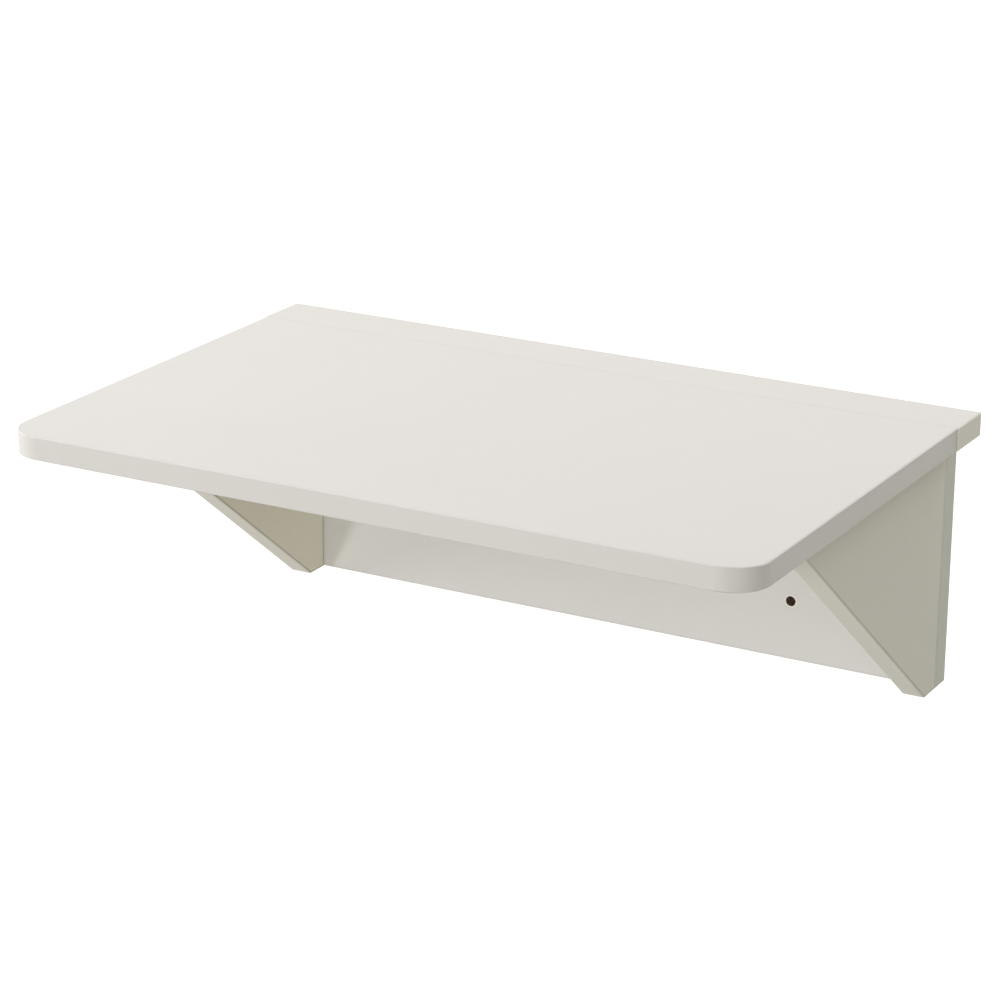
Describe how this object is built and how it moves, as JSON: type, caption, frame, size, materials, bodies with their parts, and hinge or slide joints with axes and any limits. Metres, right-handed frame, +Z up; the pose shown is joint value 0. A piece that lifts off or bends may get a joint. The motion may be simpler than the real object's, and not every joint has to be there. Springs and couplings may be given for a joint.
{
  "type": "wall mounted drop leaf table",
  "caption": "Small white table for a wall: a wall board with a narrow fixed top, a hinged leaf with rounded front corners, and triangular brackets that swing in flat.",
  "frame": {"origin": "centre of the wall board's back face, on the wall, which is also the middle of the wall screw pattern", "axes": "+X to the right along the wall, +Y into the wall, +Z up; the table stands out towards -Y"},
  "size_m": [0.6, 0.4, 0.218],
  "materials": {
    "white_board": "white satin foil on fibreboard",
    "hinge_steel": "zinc plated pressed steel",
    "screw_steel": "zinc plated steel",
    "cam_zinc": "raw zinc casting",
    "dowel_wood": "bare beech"
  },
  "bodies": {
    "root": {"wall_board": "white_board", "top_strip": "white_board", "strip_dowels": "dowel_wood", "strip_connecting_bolts": "screw_steel", "strip_cam_locks": "cam_zinc", "leaf_hinge_strip_screws": "screw_steel", "bracket_hinge_board_screws": "screw_steel", "left_leaf_hinge_strip_plate": "hinge_steel", "left_leaf_hinge_pin": "hinge_steel", "left_upper_bracket_hinge_board_plate": "hinge_steel", "left_upper_bracket_hinge_pin": "hinge_steel", "left_lower_bracket_hinge_board_plate": "hinge_steel", "left_lower_bracket_hinge_pin": "hinge_steel", "right_leaf_hinge_strip_plate": "hinge_steel", "right_leaf_hinge_pin": "hinge_steel", "right_upper_bracket_hinge_board_plate": "hinge_steel", "right_upper_bracket_hinge_pin": "hinge_steel", "right_lower_bracket_hinge_board_plate": "hinge_steel", "right_lower_bracket_hinge_pin": "hinge_steel"},
    "leaf": {"drop_leaf": "white_board", "leaf_hinge_leaf_screws": "screw_steel", "left_leaf_hinge_leaf_plate": "hinge_steel", "right_leaf_hinge_leaf_plate": "hinge_steel"},
    "left_bracket": {"left_bracket": "white_board", "left_bracket_hinge_screws": "screw_steel", "left_upper_bracket_hinge_bracket_plate": "hinge_steel", "left_lower_bracket_hinge_bracket_plate": "hinge_steel"},
    "right_bracket": {"right_bracket": "white_board", "right_bracket_hinge_screws": "screw_steel", "right_upper_bracket_hinge_bracket_plate": "hinge_steel", "right_lower_bracket_hinge_bracket_plate": "hinge_steel"}
  },
  "joints": [
    {"name": "leaf_lift", "type": "hinge", "parent": "root", "child": "leaf", "pos_m": [0, -0.04615, 0.09725], "axis": [-1, 0, 0], "range_deg": [0, 0.8]},
    {"name": "left_bracket_swing", "type": "hinge", "parent": "root", "child": "left_bracket", "pos_m": [-0.26125, -0.02075, 0], "axis": [0, 0, 1], "range_deg": [0, 90]},
    {"name": "right_bracket_swing", "type": "hinge", "parent": "root", "child": "right_bracket", "pos_m": [0.26125, -0.02075, 0], "axis": [0, 0, -1], "range_deg": [0, 90]}
  ]
}
